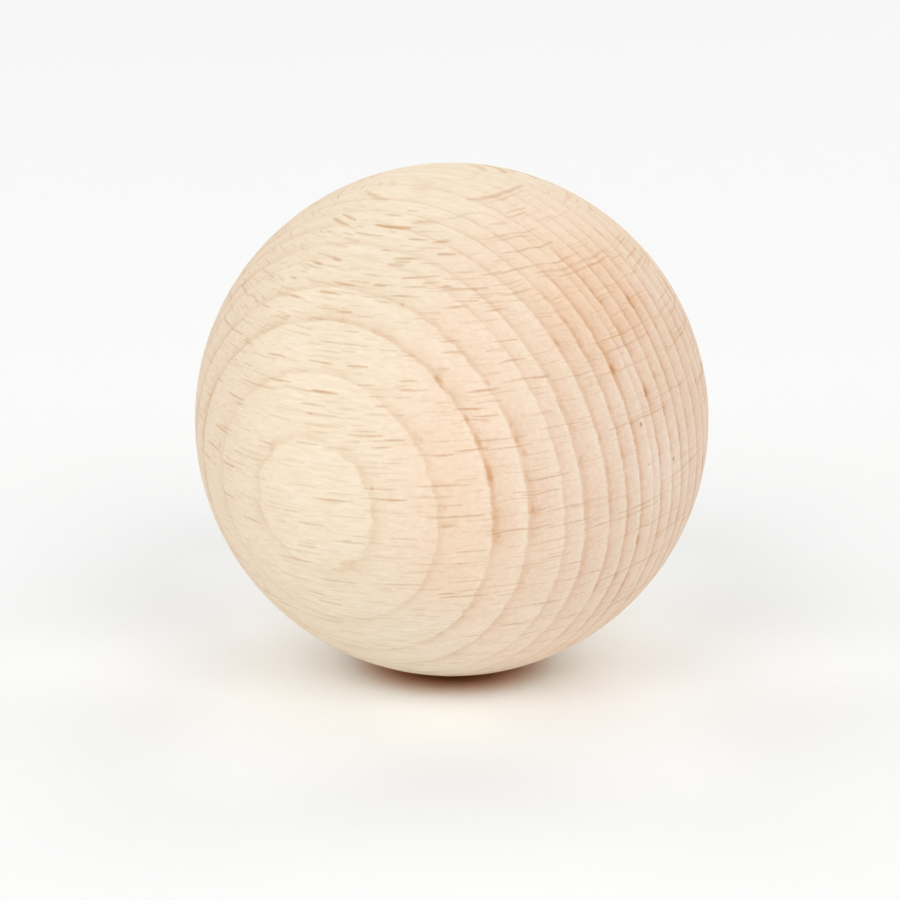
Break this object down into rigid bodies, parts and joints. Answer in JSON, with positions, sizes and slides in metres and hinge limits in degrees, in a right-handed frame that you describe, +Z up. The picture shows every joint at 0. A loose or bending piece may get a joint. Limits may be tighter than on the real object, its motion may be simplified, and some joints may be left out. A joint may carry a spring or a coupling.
{
  "type": "wooden ball",
  "caption": "Plain solid wooden ball, turned from pale close-grained hardwood and sanded smooth, with no bore or flat.",
  "frame": {"origin": "centre of the ball", "axes": "+Z up as the ball lies, +X along the wood grain, so the two end-grain poles are on the X axis"},
  "size_m": [0.05, 0.05, 0.05],
  "materials": {
    "beech": "raw beech, sanded smooth, unvarnished"
  },
  "bodies": {
    "root": {"ball": "beech"}
  },
  "joints": []
}
